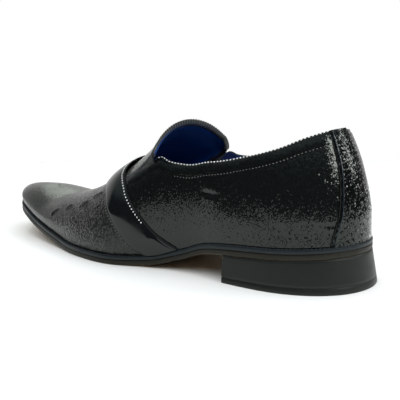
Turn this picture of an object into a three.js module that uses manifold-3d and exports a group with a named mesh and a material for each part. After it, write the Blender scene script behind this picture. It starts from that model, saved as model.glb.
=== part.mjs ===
// A left slip-on dress shoe with a saddle strap, a standing tongue and a block heel.
// Millimetres. +X to the toe, +Y to the outer side of the foot, +Z up, standing on heel and ball.
import * as THREE from 'three';
import { mergeVertices } from 'three/addons/utils/BufferGeometryUtils.js';
import Module from 'manifold-3d';

// Driving sizes
const shoeLength = 308;         // outsole, back of the heel to the tip of the toe
const ballWidth = 99;           // outsole across the ball of the foot
const heelHeight = 21.5;        // floor to the outsole at the back of the heel
const heelLength = 75.3;        // back of the heel block to its breast
const heelFlareBack = 3.6;      // how far the block spreads at the floor behind
const heelFlareSide = 1.5;      // and at its sides
const toeSpring = 20.6;         // floor to the outsole at the tip
const outsoleThickness = 3.5;
const weltThickness = 2.5;
const weltWidth = 8;            // strip between the sole's edge and the filler
const insoleThickness = 2.2;
const instepRise = 69.9;        // top of the sole to the crown of the last at the instep
const collarRise = 66;          // top of the sole to the collar at the back of the heel
const upperInset = 1.8;         // ledge of the welt outside the upper
const upperWall = 1.8;
const strapThickness = 2.6;
const stayThickness = 1.1;
const tongueThickness = 2.8;
const tongueFlare = 4.5;        // how far the top of the tongue stands forward of the last
const tongueSpread = 14;        // how far its top corners stand out sideways
const throatSkew = 15;          // how much farther back the inner corner of the throat lies
const goreThickness = 1.2;
const seam = 0.3;               // between pieces that touch
const liningSeam = 0.6;         // under the inner face of the upper, whose facets cut inside its curve

// The sole's edge from above, as shares of the length and the ball width.
const outlineRows = [
  { along: 0.000, outer: 0.000, inner: 0.000 },
  { along: 0.014, outer: 0.173, inner: 0.154 },
  { along: 0.055, outer: 0.316, inner: 0.252 },
  { along: 0.125, outer: 0.414, inner: 0.293 },
  { along: 0.235, outer: 0.440, inner: 0.279 },
  { along: 0.335, outer: 0.419, inner: 0.258 },
  { along: 0.435, outer: 0.470, inner: 0.328 },
  { along: 0.530, outer: 0.560, inner: 0.436 },
  { along: 0.620, outer: 0.542, inner: 0.458 },
  { along: 0.715, outer: 0.469, inner: 0.415 },
  { along: 0.805, outer: 0.397, inner: 0.368 },
  { along: 0.885, outer: 0.315, inner: 0.303 },
  { along: 0.945, outer: 0.222, inner: 0.218 },
  { along: 0.985, outer: 0.099, inner: 0.099 },
  { along: 1.000, outer: 0.000, inner: 0.000 },
];

// The underside of the sole from the side: shares of the heel height and of the toe spring.
const floorRows = [
  { along: 0.00, heel: 1.000, toe: 0.000 },
  { along: 0.10, heel: 0.912, toe: 0.000 },
  { along: 0.235, heel: 0.810, toe: 0.000 },
  { along: 0.29, heel: 0.710, toe: 0.000 },
  { along: 0.36, heel: 0.370, toe: 0.000 },
  { along: 0.44, heel: 0.070, toe: 0.000 },
  { along: 0.52, heel: 0.000, toe: 0.000 },
  { along: 0.66, heel: 0.000, toe: 0.000 },
  { along: 0.74, heel: 0.000, toe: 0.175 },
  { along: 0.82, heel: 0.000, toe: 0.410 },
  { along: 0.90, heel: 0.000, toe: 0.700 },
  { along: 0.96, heel: 0.000, toe: 0.883 },
  { along: 1.00, heel: 0.000, toe: 1.000 },
];

// Sections of the last. crown and lift are shares of the instep rise: the ridge over the foot and the
// widest line above the sole. swell is how far that line stands outside the foot line, as a share of the
// ball width. full and round are the powers of the arch from the widest line to the ridge.
const lastRows = [
  { along: 0.05, crown: 1.343, lift: 0.209, swell: -0.004, full: 1.40, round: 2.00 },
  { along: 0.12, crown: 1.349, lift: 0.209, swell: -0.004, full: 1.40, round: 2.00 },
  { along: 0.20, crown: 1.305, lift: 0.208, swell: -0.002, full: 1.40, round: 2.00 },
  { along: 0.28, crown: 1.168, lift: 0.205, swell: 0.007, full: 1.93, round: 2.00 },
  { along: 0.35, crown: 1.149, lift: 0.200, swell: 0.015, full: 2.65, round: 2.00 },
  { along: 0.42, crown: 1.201, lift: 0.190, swell: 0.021, full: 2.94, round: 2.00 },
  { along: 0.46, crown: 1.127, lift: 0.181, swell: 0.024, full: 2.62, round: 2.00 },
  { along: 0.50, crown: 1.000, lift: 0.172, swell: 0.025, full: 2.30, round: 2.00 },
  { along: 0.56, crown: 0.812, lift: 0.158, swell: 0.025, full: 1.99, round: 2.00 },
  { along: 0.62, crown: 0.643, lift: 0.143, swell: 0.025, full: 1.90, round: 2.00 },
  { along: 0.68, crown: 0.520, lift: 0.128, swell: 0.024, full: 1.92, round: 2.05 },
  { along: 0.74, crown: 0.394, lift: 0.113, swell: 0.022, full: 1.96, round: 2.13 },
  { along: 0.80, crown: 0.289, lift: 0.100, swell: 0.020, full: 2.00, round: 2.20 },
  { along: 0.87, crown: 0.279, lift: 0.088, swell: 0.018, full: 2.06, round: 2.27 },
  { along: 0.94, crown: 0.266, lift: 0.078, swell: 0.015, full: 2.13, round: 2.34 },
];
const footBend = 0.22;          // share of a rib below the widest line
const heelCentre = 0.136;       // where the ribs behind it meet, as a share of the length
const toeCentre = 0.890;        // where the ribs before it meet
const centreBlend = 0.097;      // how softly the ribs turn there

// The collar and the front of the throat from the side: height above the sole as shares of the collar rise.
const collarRows = [
  { along: -0.05, rise: 1.015 },
  { along: 0.054, rise: 1.007 },
  { along: 0.093, rise: 0.961 },
  { along: 0.142, rise: 0.873 },
  { along: 0.202, rise: 0.806 },
  { along: 0.268, rise: 0.767 },
  { along: 0.317, rise: 0.781 },
  { along: 0.364, rise: 0.849 },
  { along: 0.389, rise: 0.900 },
  { along: 0.414, rise: 0.970 },
  { along: 0.436, rise: 0.940 },
  { along: 0.451, rise: 0.894 },
  { along: 0.477, rise: 0.834 },
  { along: 0.493, rise: 0.779 },
  { along: 0.519, rise: 0.725 },
  { along: 0.560, rise: 0.725 },
  { along: 0.600, rise: 0.830 },
];

// The strap's edges on each side, from the welt (height 0) to the ridge (height 1).
const strapRows = [
  { height: 0.01, back: 0.374, front: 0.446 },
  { height: 0.10, back: 0.393, front: 0.467 },
  { height: 0.20, back: 0.413, front: 0.483 },
  { height: 0.30, back: 0.456, front: 0.508 },
  { height: 0.40, back: 0.480, front: 0.528 },
  { height: 0.50, back: 0.497, front: 0.543 },
  { height: 0.63, back: 0.514, front: 0.568 },
  { height: 0.80, back: 0.529, front: 0.604 },
  { height: 1.00, back: 0.534, front: 0.632 },
];

// The back panel: where its edge stands on each side, by height.
const stayRows = [
  { height: 0.00, edge: 0.042 },
  { height: 0.14, edge: 0.035 },
  { height: 0.30, edge: 0.028 },
  { height: 0.45, edge: 0.023 },
  { height: 0.80, edge: 0.027 },
];

// The tongue, from under the strap to its top: each row goes from the ridge down to the height reach on
// both sides. curl moves its sides back along the shoe; flare and spread are shares of their sizes.
const tongueRows = [
  { along: 0.640, reach: 0.86, curl: 0.000, flare: 0.0, spread: 0.0 },
  { along: 0.600, reach: 0.74, curl: 0.000, flare: 0.0, spread: 0.0 },
  { along: 0.560, reach: 0.66, curl: 0.000, flare: 0.0, spread: 0.0 },
  { along: 0.520, reach: 0.60, curl: 0.000, flare: 0.0, spread: 0.0 },
  { along: 0.480, reach: 0.58, curl: 0.000, flare: 0.0, spread: 0.0 },
  { along: 0.450, reach: 0.60, curl: 0.005, flare: 0.2, spread: 0.15 },
  { along: 0.430, reach: 0.59, curl: 0.010, flare: 0.6, spread: 0.5 },
  { along: 0.410, reach: 0.565, curl: 0.012, flare: 1.0, spread: 1.0 },
];
const goreLastRow = 5.8;        // tongue row where the elastic ends
const goreFirstRow = 4;         // and where it starts
const goreGap = 0.017;          // height left free under the tongue's side
const goreEdge = 0.560;         // height of the quarter's edge, above which it leans out
const goreLow = 0.45;           // height of its lower edge, under the quarter

const colours = {
  patent: { color: 0x15181a, roughness: 0.22, metalness: 0 },
  strap: { color: 0x101214, roughness: 0.12, metalness: 0 },
  lining: { color: 0x1d3c78, roughness: 0.75, metalness: 0 },
  tongue: { color: 0x1b1d1f, roughness: 0.45, metalness: 0 },
  elastic: { color: 0x0c0d0e, roughness: 0.85, metalness: 0 },
  edge: { color: 0x1c2126, roughness: 0.4, metalness: 0 },
  sole: { color: 0x17130f, roughness: 0.5, metalness: 0 },
  heel: { color: 0x141516, roughness: 0.45, metalness: 0 },
};

const wasm = await Module();
wasm.setup();

// Monotone cubic through one column of a table.
function curveOf(rows, key, column, keyScale = 1, levelEnd = false) {
  const x = rows.map((row) => row[key] * keyScale);
  const y = rows.map((row) => row[column]);
  const last = rows.length - 1;
  const step = x.slice(1).map((value, i) => value - x[i]);
  const slope = step.map((width, i) => (y[i + 1] - y[i]) / width);
  const tangent = y.map((_, i) => {
    if (i === last && levelEnd) return 0;
    if (i === 0 || i === last) return slope[Math.min(i, last - 1)];
    if (slope[i - 1] * slope[i] <= 0) return 0;
    const before = 2 * step[i] + step[i - 1];
    const after = step[i] + 2 * step[i - 1];
    return (before + after) / (before / slope[i - 1] + after / slope[i]);
  });
  return (at) => {
    if (at <= x[0]) return y[0];
    if (at >= x[last]) return y[last];
    const i = x.findIndex((value) => value > at) - 1;
    const t = (at - x[i]) / step[i];
    const rise = y[i] * (1 + 2 * t) * (1 - t) ** 2 + y[i + 1] * t * t * (3 - 2 * t);
    return rise + step[i] * t * (1 - t) * (tangent[i] * (1 - t) - tangent[i + 1] * t);
  };
}

const alongOf = (rows, column) => curveOf(rows, 'along', column, shoeLength);
const floorHeel = alongOf(floorRows, 'heel');
const floorToe = alongOf(floorRows, 'toe');
const soleBottom = (x) => heelHeight * floorHeel(x) + toeSpring * floorToe(x);
const outsoleTop = (x) => soleBottom(x) + outsoleThickness;
const soleTop = (x) => outsoleTop(x) + seam + weltThickness;
const last = {};
for (const column of ['crown', 'lift', 'swell', 'full', 'round']) last[column] = alongOf(lastRows, column);

// The edge of the sole as one closed curve: out along the outer side and back along the inner side.
const edgePoint = (row, side) => {
  const width = side > 0 ? row.outer : -row.inner;
  return new THREE.Vector3(row.along * shoeLength, width * ballWidth, 0);
};
const rowCount = outlineRows.length - 1;
const edgeCurve = new THREE.CatmullRomCurve3([
  ...outlineRows.map((row) => edgePoint(row, 1)),
  ...outlineRows.slice(1, -1).reverse().map((row) => edgePoint(row, -1)),
], true, 'centripetal');
const midRows = outlineRows.map((row) => ({ along: row.along, mid: (row.outer - row.inner) / 2 }));
const midLine = alongOf(midRows, 'mid');

// A station counts outline rows from the heel (0) to the toe (rowCount).
const edgeShare = (station, side) => {
  const share = station / (2 * rowCount);
  return side > 0 ? share : (1 - share) % 1;
};
function edgeAt(station, side, inset) {
  const share = edgeShare(station, side);
  const tangent = edgeCurve.getTangent(share);
  const inward = new THREE.Vector3(tangent.y, -tangent.x, 0);
  return edgeCurve.getPoint(share).addScaledVector(inward, inset);
}
function stationAt(along) {
  let low = 0;
  let high = rowCount;
  for (let i = 0; i < 30; i += 1) {
    const middle = (low + high) / 2;
    if (edgeAt(middle, 1, upperInset).x < along * shoeLength) low = middle;
    else high = middle;
  }
  return low;
}

// Where a rib leans to: straight in along the foot, and to one centre at the heel and at the toe.
function softLimit(x) {
  const heel = heelCentre * shoeLength;
  const toe = toeCentre * shoeLength;
  const blend = centreBlend * shoeLength;
  const afterHeel = (x + heel + Math.hypot(x - heel, blend)) / 2;
  return (afterHeel + toe - Math.hypot(afterHeel - toe, blend)) / 2;
}
function ribAt(station, side) {
  const foot = edgeAt(station, side, upperInset);
  const middle = (edgeAt(station, 1, upperInset).x + edgeAt(station, -1, upperInset).x) / 2;
  const x = softLimit(middle);
  const base = new THREE.Vector3(x, midLine(x) * ballWidth, 0);
  const out = foot.clone().sub(base);
  const reach = out.length();
  const low = soleTop(foot.x) + seam;
  return {
    base,
    out: out.normalize(),
    reach,
    low,
    wide: reach + last.swell(foot.x) * ballWidth,
    bend: low + last.lift(foot.x) * instepRise,
    top: soleTop(x) + last.crown(x) * instepRise,
    full: last.full(foot.x),
    round: last.round(foot.x),
  };
}
function ribProfile(rib, height) {
  if (height <= footBend) {
    const t = height / footBend;
    const tuck = (1 - t) ** 2;
    return [rib.wide - (rib.wide - rib.reach) * tuck, rib.low + (rib.bend - rib.low) * t];
  }
  const angle = Math.min(1, (height - footBend) / (1 - footBend)) * Math.PI / 2;
  const across = height >= 1 ? 0 : rib.wide * Math.cos(angle) ** (2 / rib.round);
  return [across, rib.bend + (rib.top - rib.bend) * Math.sin(angle) ** (2 / rib.full)];
}

// A point of the last: height runs from the foot line (0) to the ridge (1), away is outwards.
function lastPoint(rib, height, away) {
  const small = 0.004;
  const [across, up] = ribProfile(rib, height);
  const [acrossA, upA] = ribProfile(rib, Math.max(0, height - small));
  const [acrossB, upB] = ribProfile(rib, Math.min(1, height + small));
  const run = Math.hypot(acrossB - acrossA, upB - upA);
  const flat = height >= 1;
  const outward = flat ? 0 : (upB - upA) / run;
  const upward = flat ? 1 : (acrossA - acrossB) / run;
  const point = rib.base.clone().addScaledVector(rib.out, Math.max(0, across + outward * away));
  point.z = up + upward * away;
  return point;
}

// Solids
function toSolid(geometry) {
  const plain = geometry.clone();
  for (const name of Object.keys(plain.attributes)) if (name !== 'position') plain.deleteAttribute(name);
  const merged = mergeVertices(plain, 1e-4);
  const index = merged.index.array;
  const triVerts = [];
  for (let i = 0; i < index.length; i += 3) {
    const [a, b, c] = [index[i], index[i + 1], index[i + 2]];
    if (a !== b && b !== c && c !== a) triVerts.push(a, b, c);
  }
  const vertProperties = new Float32Array(merged.attributes.position.array);
  return new wasm.Manifold(new wasm.Mesh({ numProp: 3, vertProperties, triVerts: new Uint32Array(triVerts) }));
}
function fromQuads(points, quads) {
  const geometry = new THREE.BufferGeometry().setFromPoints(points);
  geometry.setIndex(quads.flatMap(([a, b, c, d]) => [a, b, c, a, c, d]));
  return toSolid(geometry);
}

// Stations of the ring, and the same place on the other side for each.
const perRow = 3;
const ringHalf = rowCount * perRow;
const ringSize = 2 * ringHalf;
const ringStations = Array.from({ length: ringSize }, (_, i) => (
  i <= ringHalf ? { station: i / perRow, side: 1 } : { station: (ringSize - i) / perRow, side: -1 }
));

// A closed body through rings that share those stations, with its ends closed across the foot.
function loft(rings) {
  const quads = [];
  const top = (rings.length - 1) * ringSize;
  for (let r = 0; r < rings.length - 1; r += 1) {
    for (let i = 0; i < ringSize; i += 1) {
      const next = (i + 1) % ringSize;
      const [low, high] = [r * ringSize, (r + 1) * ringSize];
      quads.push([low + next, low + i, high + i, high + next]);
    }
  }
  for (let i = 0; i < ringHalf; i += 1) {
    const far = (ringSize - i) % ringSize;
    quads.push([i, i + 1, ringSize - i - 1, far]);
    quads.push([top + i + 1, top + i, top + far, top + ringSize - i - 1]);
  }
  return fromQuads(rings.flat(), quads);
}
const ringOf = (place) => ringStations.map(({ station, side }) => place(station, side));
const edgeRing = (inset, z) => ringOf((station, side) => {
  const point = edgeAt(station, side, typeof inset === 'function' ? inset(station) : inset);
  point.z = z;
  return point;
});

// A slab between two height curves, as wide as needed: it gives each layer of the sole its side view.
const slabSteps = 44;
function slab(low, high, from, to) {
  const shape = new THREE.Shape();
  const xAt = (i) => from + (to - from) * i / slabSteps;
  shape.moveTo(from, low(from));
  for (let i = 1; i <= slabSteps; i += 1) shape.lineTo(xAt(i), low(xAt(i)));
  for (let i = slabSteps; i >= 0; i -= 1) shape.lineTo(xAt(i), high(xAt(i)));
  const geometry = new THREE.ExtrudeGeometry(shape, { depth: 2 * ballWidth, bevelEnabled: false });
  geometry.rotateX(Math.PI / 2);
  geometry.translate(0, ballWidth, 0);
  return toSolid(geometry);
}
const sideHalf = (side) => {
  const reach = 2 * shoeLength;
  const geometry = new THREE.BoxGeometry(reach * 2, reach, reach * 2);
  geometry.translate(0, side * reach / 2, 0);
  return toSolid(geometry);
};
const past = 12;                // how far cutters reach beyond the shoe
const tall = 3 * collarRise;
const layer = (inset, low, high) => {
  const column = loft([edgeRing(inset, -past), edgeRing(inset, tall)]);
  return column.intersect(slab(low, high, -past, shoeLength + past));
};

// A sheet with an inner and an outer face: place(u, w, face) gives its points, u across, w along.
function sheet(across, along, place) {
  const points = [];
  const at = (face, i, j) => (face * (along + 1) + j) * (across + 1) + i;
  for (const face of [0, 1]) {
    for (let j = 0; j <= along; j += 1) {
      for (let i = 0; i <= across; i += 1) points.push(place(i / across, j / along, face));
    }
  }
  const quads = [];
  for (let j = 0; j < along; j += 1) {
    for (let i = 0; i < across; i += 1) {
      quads.push([at(1, i, j), at(1, i, j + 1), at(1, i + 1, j + 1), at(1, i + 1, j)]);
      quads.push([at(0, i, j), at(0, i + 1, j), at(0, i + 1, j + 1), at(0, i, j + 1)]);
    }
    quads.push([at(0, 0, j), at(0, 0, j + 1), at(1, 0, j + 1), at(1, 0, j)]);
    quads.push([at(0, across, j), at(1, across, j), at(1, across, j + 1), at(0, across, j + 1)]);
  }
  for (let i = 0; i < across; i += 1) {
    quads.push([at(0, i, 0), at(1, i, 0), at(1, i + 1, 0), at(0, i + 1, 0)]);
    quads.push([at(0, i, along), at(0, i + 1, along), at(1, i + 1, along), at(1, i, along)]);
  }
  return fromQuads(points, quads);
}
// Over the instep u runs from the outer side (0) over the ridge (0.5) to the inner side (1).
const sideOf = (u) => (u <= 0.5 ? 1 : -1);
const climbOf = (u) => 1 - Math.abs(2 * u - 1);

// Upper: the last's outside, less its inside, open below and cut along the collar and throat.
const ribHeights = [0, 0.07, 0.15, 0.22, 0.30, 0.38, 0.46, 0.54, 0.62, 0.70, 0.78, 0.86, 0.93, 1];
const ringRibs = ringStations.map(({ station, side }) => ribAt(station, side));
const lastRing = (height, away) => ringRibs.map((rib) => lastPoint(rib, height, away));
function lastSolid(away, deeper) {
  const rings = ribHeights.map((height) => lastRing(height, away));
  if (deeper > 0) rings.unshift(rings[0].map((point) => point.clone().setZ(point.z - deeper)));
  return loft(rings);
}
const collarLine = alongOf(collarRows, 'rise');
const collarHeight = (x) => soleTop(x) + collarLine(x) * collarRise;
const collarEnd = collarRows[collarRows.length - 1].along * shoeLength;
const collarHalf = (side) => {
  const skewAt = (x) => (side > 0 ? 0 : throatSkew * Math.min(1, Math.max(0, x) / (heelCentre * shoeLength)));
  const end = collarEnd - skewAt(collarEnd);
  const half = slab((x) => collarHeight(x + skewAt(x)), () => tall, -past, end);
  return half.intersect(sideHalf(side));
};
const collarCut = collarHalf(1).add(collarHalf(-1));
const upper = lastSolid(0, 0).subtract(lastSolid(-upperWall, past)).subtract(collarCut);

// Saddle strap: over the instep from welt to welt, fuller along its middle.
const strapBack = curveOf(strapRows, 'height', 'back', 1, true);
const strapFront = curveOf(strapRows, 'height', 'front', 1, true);
const strapFoot = strapRows[0].height;
const saddleStrap = sheet(30, 6, (u, w, face) => {
  const height = strapFoot + (1 - strapFoot) * climbOf(u);
  const along = strapFront(height) + (strapBack(height) - strapFront(height)) * w;
  const puff = 0.55 + 0.45 * Math.sin(Math.PI * w);
  return lastPoint(ribAt(stationAt(along), sideOf(u)), height, seam + face * strapThickness * puff);
});

// Back panel over the heel, its top on the same collar line.
const stayEdge = curveOf(stayRows, 'height', 'edge');
const stayTop = stayRows[stayRows.length - 1].height;
const backStay = sheet(14, 12, (u, w, face) => {
  const height = stayTop * w;
  const turn = 1 - 2 * u;
  const station = stationAt(stayEdge(height)) * Math.abs(turn);
  return lastPoint(ribAt(station, turn >= 0 ? -1 : 1), height, seam + face * stayThickness);
}).subtract(collarCut);

// Tongue: inside the throat, rising past the collar, its top standing forward and its corners out.
const underWall = upperWall + liningSeam;
const tongueKeys = tongueRows.map((row, i) => ({ ...row, row: i }));
const tongueCurve = {};
for (const column of ['along', 'reach', 'curl', 'flare', 'spread']) {
  tongueCurve[column] = curveOf(tongueKeys, 'row', column);
}
function tonguePoint(row, across, deeper) {
  const aside = Math.abs(across);
  const side = across >= 0 ? 1 : -1;
  const spread = tongueCurve.spread(row) * tongueSpread;
  const along = tongueCurve.along(row) - tongueCurve.curl(row) * aside ** 2;
  const height = 1 - (1 - tongueCurve.reach(row)) * aside;
  const away = tongueCurve.flare(row) * tongueFlare - underWall - deeper;
  const point = lastPoint(ribAt(stationAt(along), side), height, away);
  point.y += spread * across;
  return point;
}
const tongueLast = tongueRows.length - 1;
const tongue = sheet(24, 10, (u, w, face) => (
  tonguePoint(w * tongueLast, 1 - 2 * u, (1 - face) * tongueThickness)
));

// Elastic wedges: from under the edge of the quarter up to the side of the tongue.
const gore = (side) => sheet(4, 8, (u, w, face) => {
  const row = goreFirstRow + (goreLastRow - goreFirstRow) * w;
  const climb = 2 * (side > 0 ? u : 1 - u) - 1;
  const free = tongueCurve.reach(row) - goreGap - goreEdge;
  const height = goreEdge + climb * (climb > 0 ? free : goreEdge - goreLow);
  const lean = Math.max(0, climb);
  const rib = ribAt(stationAt(tongueCurve.along(row) - tongueCurve.curl(row)), side);
  const point = lastPoint(rib, height, tongueCurve.flare(row) * tongueFlare * lean - underWall);
  point.y += side * (tongueCurve.spread(row) * tongueSpread * lean - (1 - face) * goreThickness);
  return point;
});

// Sole: outsole, welt strip, and the insole with its filler inside the welt.
const outsole = layer(0, soleBottom, outsoleTop);
const weltBottom = (x) => outsoleTop(x) + seam;
const weltHole = loft([edgeRing(weltWidth, -past), edgeRing(weltWidth, tall)]);
const welt = layer(0, weltBottom, soleTop).subtract(weltHole);
const insoleInset = upperInset + upperWall + seam;
const insoleBottom = (x) => soleTop(x) + seam;
const insoleTop = (x) => insoleBottom(x) + insoleThickness;
const filler = layer(weltWidth + seam, weltBottom, (x) => insoleTop(x) - insoleThickness / 2);
const insole = filler.add(layer(insoleInset, insoleBottom, insoleTop));

// Heel block: spreads to the floor, straight breast, its top under the outsole.
const flare = (station) => {
  const x = edgeAt(station, 1, 0).x;
  const behind = Math.max(0, 1 - x / heelLength);
  return -(heelFlareSide + (heelFlareBack - heelFlareSide) * behind);
};
const heelColumn = loft([edgeRing(flare, 0), edgeRing(0, heelHeight * 1.2)]);
const heelBlock = heelColumn.intersect(slab(() => 0, (x) => soleBottom(x) - seam, -past, heelLength));

// Assembly
const shoe = new THREE.Group();
function addPiece(name, solid, look) {
  const mesh = solid.getMesh();
  const geometry = new THREE.BufferGeometry();
  geometry.setAttribute('position', new THREE.BufferAttribute(new Float32Array(mesh.vertProperties), 3));
  geometry.setIndex(new THREE.BufferAttribute(new Uint32Array(mesh.triVerts), 1));
  const piece = new THREE.Mesh(geometry, new THREE.MeshStandardMaterial(look));
  piece.name = name;
  shoe.add(piece);
}
addPiece('upper', upper, colours.patent);
addPiece('saddle_strap', saddleStrap, colours.strap);
addPiece('back_stay', backStay, colours.patent);
addPiece('tongue', tongue, colours.tongue);
addPiece('gore_outer', gore(1), colours.elastic);
addPiece('gore_inner', gore(-1), colours.elastic);
addPiece('insole', insole, colours.lining);
addPiece('welt', welt, colours.edge);
addPiece('outsole', outsole, colours.sole);
addPiece('heel', heelBlock, colours.heel);

// The origin is on the floor, under the middle of the shoe.
const box = new THREE.Box3().setFromObject(shoe);
const middle = box.getCenter(new THREE.Vector3());
shoe.position.set(-middle.x, -middle.y, -box.min.z);
shoe.updateMatrixWorld(true);

export default shoe;
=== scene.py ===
# Left slip-on dress shoe: patent quarters, wrinkled vamp, padded saddle strap, standing tongue.
# Lengths in the tables and dictionaries are millimetres or shares of them; meshes are in metres.
import bpy
import bmesh
import math
import numpy as np
from mathutils import Matrix, Vector


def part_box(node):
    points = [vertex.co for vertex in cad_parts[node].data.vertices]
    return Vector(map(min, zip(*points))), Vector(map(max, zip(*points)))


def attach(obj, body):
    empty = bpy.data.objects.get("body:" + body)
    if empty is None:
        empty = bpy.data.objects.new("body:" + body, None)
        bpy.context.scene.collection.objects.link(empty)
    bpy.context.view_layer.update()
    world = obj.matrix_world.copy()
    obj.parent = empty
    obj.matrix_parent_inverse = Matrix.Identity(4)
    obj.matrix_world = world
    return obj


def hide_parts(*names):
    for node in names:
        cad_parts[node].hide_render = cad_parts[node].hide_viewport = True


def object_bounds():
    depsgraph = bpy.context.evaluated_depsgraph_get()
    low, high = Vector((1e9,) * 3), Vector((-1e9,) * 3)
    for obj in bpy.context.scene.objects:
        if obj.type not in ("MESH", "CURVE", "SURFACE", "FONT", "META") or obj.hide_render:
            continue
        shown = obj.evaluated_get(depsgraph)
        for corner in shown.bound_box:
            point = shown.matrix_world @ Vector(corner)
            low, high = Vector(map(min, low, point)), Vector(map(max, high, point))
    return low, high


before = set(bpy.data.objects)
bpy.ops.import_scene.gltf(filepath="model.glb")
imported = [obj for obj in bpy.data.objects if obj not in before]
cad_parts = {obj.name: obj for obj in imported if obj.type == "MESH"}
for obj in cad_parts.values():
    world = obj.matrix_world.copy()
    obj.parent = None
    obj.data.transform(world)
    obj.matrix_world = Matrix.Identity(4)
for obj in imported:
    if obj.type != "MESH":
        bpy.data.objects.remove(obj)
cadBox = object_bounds()
scene = bpy.context.scene
print("stage: frame loaded")

# The last, with the same sizes and tables as the solids.
shoe = {
    "length": 308, "ball": 99, "heelHeight": 21.5, "heelLength": 75.3, "heelFlareBack": 3.6,
    "heelFlareSide": 1.5, "toeSpring": 20.6, "outsole": 3.5, "welt": 2.5, "weltWidth": 8, "insole": 2.2,
    "instepRise": 69.9, "collarRise": 66, "upperInset": 1.8, "wall": 1.8, "strap": 2.6, "stay": 1.1,
    "tongue": 2.8, "tongueFlare": 4.5, "tongueSpread": 14, "throatSkew": 15, "seam": 0.3,
    "liningSeam": 0.6,
}
outline = {
    "along": [0, .014, .055, .125, .235, .335, .435, .530, .620, .715, .805, .885, .945, .985, 1],
    "outer": [0, .173, .316, .414, .440, .419, .470, .560, .542, .469, .397, .315, .222, .099, 0],
    "inner": [0, .154, .252, .293, .279, .258, .328, .436, .458, .415, .368, .303, .218, .099, 0],
}
floorLine = {
    "along": [0, .10, .235, .29, .36, .44, .52, .66, .74, .82, .90, .96, 1],
    "heel": [1, .912, .810, .710, .370, .070, 0, 0, 0, 0, 0, 0, 0],
    "toe": [0, 0, 0, 0, 0, 0, 0, 0, .175, .410, .700, .883, 1],
}
lastTable = {
    "along": [.05, .12, .20, .28, .35, .42, .46, .50, .56, .62, .68, .74, .80, .87, .94],
    "crown": [1.343, 1.349, 1.305, 1.168, 1.149, 1.201, 1.127, 1.0, .812, .643, .52, .394, .289, .279, .266],
    "lift": [.209, .209, .208, .205, .200, .190, .181, .172, .158, .143, .128, .113, .100, .088, .078],
    "swell": [-.004, -.004, -.002, .007, .015, .021, .024, .025, .025, .025, .024, .022, .020, .018, .015],
    "full": [1.40, 1.40, 1.40, 1.93, 2.65, 2.94, 2.62, 2.30, 1.99, 1.90, 1.92, 1.96, 2.00, 2.06, 2.13],
    "round": [2.0, 2.0, 2.0, 2.0, 2.0, 2.0, 2.0, 2.0, 2.0, 2.0, 2.05, 2.13, 2.20, 2.27, 2.34],
}
ribShape = {"footBend": 0.22, "heelCentre": 0.136, "toeCentre": 0.890, "centreBlend": 0.097}
collarTable = {
    "along": [
        -.05, .054, .093, .142, .202, .268, .317, .364, .389, .414, .436, .451, .477, .493, .519, .56, .6],
    "rise": [
        1.015, 1.007, .961, .873, .806, .767, .781, .849, .9, .97, .94, .894, .834, .779, .725, .725, .83],
}


def curveOf(xs, ys, levelEnd=False):  # monotone cubic through a table's column
    x, y = np.array(xs, float), np.array(ys, float)
    step = np.diff(x)
    slope = np.diff(y) / step
    tangent = np.concatenate([slope[:1], np.zeros(len(x) - 2), slope[-1:]])
    for i in range(1, len(x) - 1):
        if slope[i - 1] * slope[i] > 0:
            before, after = 2 * step[i] + step[i - 1], step[i] + 2 * step[i - 1]
            tangent[i] = (before + after) / (before / slope[i - 1] + after / slope[i])
    if levelEnd:
        tangent[-1] = 0

    def at(value):
        v = np.clip(value, x[0], x[-1])
        i = np.clip(np.searchsorted(x, v, side="right") - 1, 0, len(step) - 1)
        t = (v - x[i]) / step[i]
        rise = y[i] * (1 + 2 * t) * (1 - t) ** 2 + y[i + 1] * t * t * (3 - 2 * t)
        return rise + step[i] * t * (1 - t) * (tangent[i] * (1 - t) - tangent[i + 1] * t)
    return at


def smoothStep(value, low, high):
    t = np.clip((value - low) / (high - low), 0, 1)
    return t * t * (3 - 2 * t)


def bumpAt(distance, width):
    return np.exp(-(distance / width) ** 2)


def lengths(rows):
    return np.linalg.norm(rows, axis=1)


def unit(rows):
    return rows / (lengths(rows)[:, None] + 1e-9)


def alongOf(table, column):
    return curveOf(np.array(table["along"]) * shoe["length"], table[column])


floorHeel, floorToe = alongOf(floorLine, "heel"), alongOf(floorLine, "toe")
lastOf = {column: alongOf(lastTable, column) for column in lastTable if column != "along"}
outline["mid"] = (np.array(outline["outer"]) - np.array(outline["inner"])) / 2
midLine = alongOf(outline, "mid")
rowCount = len(outline["along"]) - 1
edgeKnots = np.array(
    [(a * shoe["length"], w * shoe["ball"]) for a, w in zip(outline["along"], outline["outer"])]
    + [(a * shoe["length"], -w * shoe["ball"])
       for a, w in list(zip(outline["along"], outline["inner"]))[-2:0:-1]])


def soleBottom(x):
    return shoe["heelHeight"] * floorHeel(x) + shoe["toeSpring"] * floorToe(x)


def outsoleTop(x):
    return soleBottom(x) + shoe["outsole"]


def soleTop(x):
    return outsoleTop(x) + shoe["seam"] + shoe["welt"]


def edgeCurve(share):  # closed centripetal curve through the outline: points and directions
    count = len(edgeKnots)
    spot = share * count
    i = np.floor(spot).astype(int)
    t = (spot - i)[:, None]
    p0, p1, p2, p3 = (edgeKnots[(i + k) % count] for k in (-1, 0, 1, 2))
    d0, d1, d2 = (lengths(b - a)[:, None] ** 0.5 for a, b in ((p0, p1), (p1, p2), (p2, p3)))
    m1 = ((p1 - p0) / d0 - (p2 - p0) / (d0 + d1) + (p2 - p1) / d1) * d1
    m2 = ((p2 - p1) / d1 - (p3 - p1) / (d1 + d2) + (p3 - p2) / d2) * d1
    c2, c3 = -3 * p1 + 3 * p2 - 2 * m1 - m2, 2 * p1 - 2 * p2 + m1 + m2
    return p1 + m1 * t + c2 * t * t + c3 * t ** 3, m1 + 2 * c2 * t + 3 * c3 * t * t


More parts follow.
